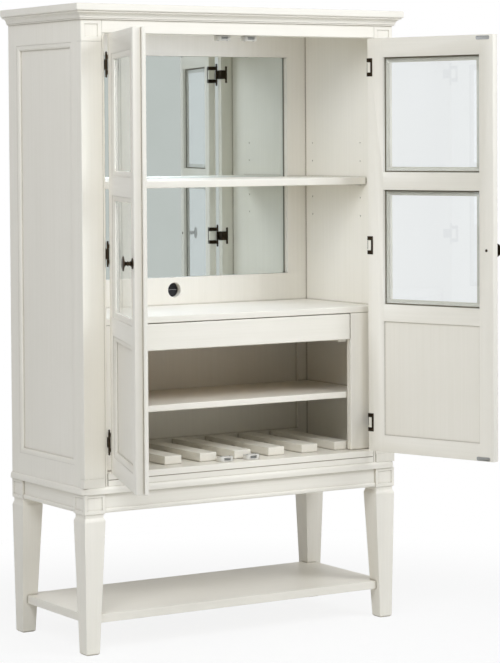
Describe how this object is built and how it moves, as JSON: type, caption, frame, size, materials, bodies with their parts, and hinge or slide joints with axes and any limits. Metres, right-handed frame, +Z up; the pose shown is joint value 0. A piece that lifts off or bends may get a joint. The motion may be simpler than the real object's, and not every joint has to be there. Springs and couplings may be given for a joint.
{
  "type": "display cabinet",
  "caption": "Painted bar and display cabinet on a legged stand: two glazed doors, mirrored back, shelf, counter, drawer and a bottle rack behind them.",
  "frame": {"origin": "on the floor, at the middle of the width, in the plane of the case's front face; with both doors open that is the middle of the footprint", "axes": "+Z up, +X to the right seen from the front, -Y out of the front of the case"},
  "size_m": [1.2428, 0.9006, 1.83],
  "materials": {
    "cream_paint": "brushed satin paint",
    "drawer_wood": "plain lacquered wood",
    "glass": "clear float glass",
    "mirror": "silvered glass",
    "dark_bronze": "oil-rubbed dark bronze",
    "steel": "zinc-plated",
    "white_plastic": "moulded"
  },
  "bodies": {
    "case": {"leg_front_left": "cream_paint", "leg_front_right": "cream_paint", "leg_back_left": "cream_paint", "leg_back_right": "cream_paint", "apron_front": "cream_paint", "apron_back": "cream_paint", "apron_left": "cream_paint", "apron_right": "cream_paint", "ledge_moulding": "cream_paint", "stand_shelf": "cream_paint", "cabinet_floor": "cream_paint", "pilaster_left": "cream_paint", "pilaster_right": "cream_paint", "frieze_rail": "cream_paint", "top_board": "cream_paint", "side_left": "cream_paint", "side_right": "cream_paint", "back_board": "cream_paint", "mirror": "mirror", "counter": "cream_paint", "post_left": "cream_paint", "post_right": "cream_paint", "lower_shelf": "cream_paint", "drawer_runner_left": "cream_paint", "drawer_runner_right": "cream_paint", "shelf_pin_front_left": "steel", "shelf_pin_front_right": "steel", "shelf_pin_back_left": "steel", "shelf_pin_back_right": "steel", "left_bottom_hinge_frame_leaf": "dark_bronze", "left_middle_hinge_frame_leaf": "dark_bronze", "left_top_hinge_frame_leaf": "dark_bronze", "right_bottom_hinge_frame_leaf": "dark_bronze", "right_middle_hinge_frame_leaf": "dark_bronze", "right_top_hinge_frame_leaf": "dark_bronze", "top_catch_left": "white_plastic", "top_catch_right": "white_plastic", "bottom_catch_left": "white_plastic", "bottom_catch_right": "white_plastic"},
    "left_door": {"left_door_frame": "cream_paint", "left_door_panel": "cream_paint", "left_lower_glass": "glass", "left_upper_glass": "glass", "left_knob": "dark_bronze", "left_bottom_hinge_door_leaf": "dark_bronze", "left_middle_hinge_door_leaf": "dark_bronze", "left_top_hinge_door_leaf": "dark_bronze", "left_astragal": "cream_paint"},
    "right_door": {"right_door_frame": "cream_paint", "right_door_panel": "cream_paint", "right_lower_glass": "glass", "right_upper_glass": "glass", "right_knob": "dark_bronze", "right_bottom_hinge_door_leaf": "dark_bronze", "right_middle_hinge_door_leaf": "dark_bronze", "right_top_hinge_door_leaf": "dark_bronze"},
    "drawer": {"drawer_front": "cream_paint", "drawer_box": "drawer_wood"},
    "upper_shelf": {"upper_shelf": "cream_paint"},
    "bottle_rack": {"bottle_rack": "cream_paint"}
  },
  "joints": [
    {"name": "left_door_hinge", "type": "hinge", "parent": "case", "child": "left_door", "pos_m": [-0.45255, -0.0045, 1.13], "axis": [0, 0, -1], "range_deg": [-110.5, 59.5]},
    {"name": "right_door_hinge", "type": "hinge", "parent": "case", "child": "right_door", "pos_m": [0.45255, -0.0045, 1.13], "axis": [0, 0, 1], "range_deg": [-108.5, 61.5]},
    {"name": "drawer_slide", "type": "slide", "parent": "case", "child": "drawer", "axis": [0, -1, 0], "range_m": [0, 0.25]},
    {"name": "upper_shelf_lift", "type": "slide", "parent": "case", "child": "upper_shelf", "axis": [0, 0, 1], "range_m": [0, 0.0558]},
    {"name": "bottle_rack_lift", "type": "slide", "parent": "case", "child": "bottle_rack", "axis": [0, 0, 1], "range_m": [0, 0.1]}
  ]
}
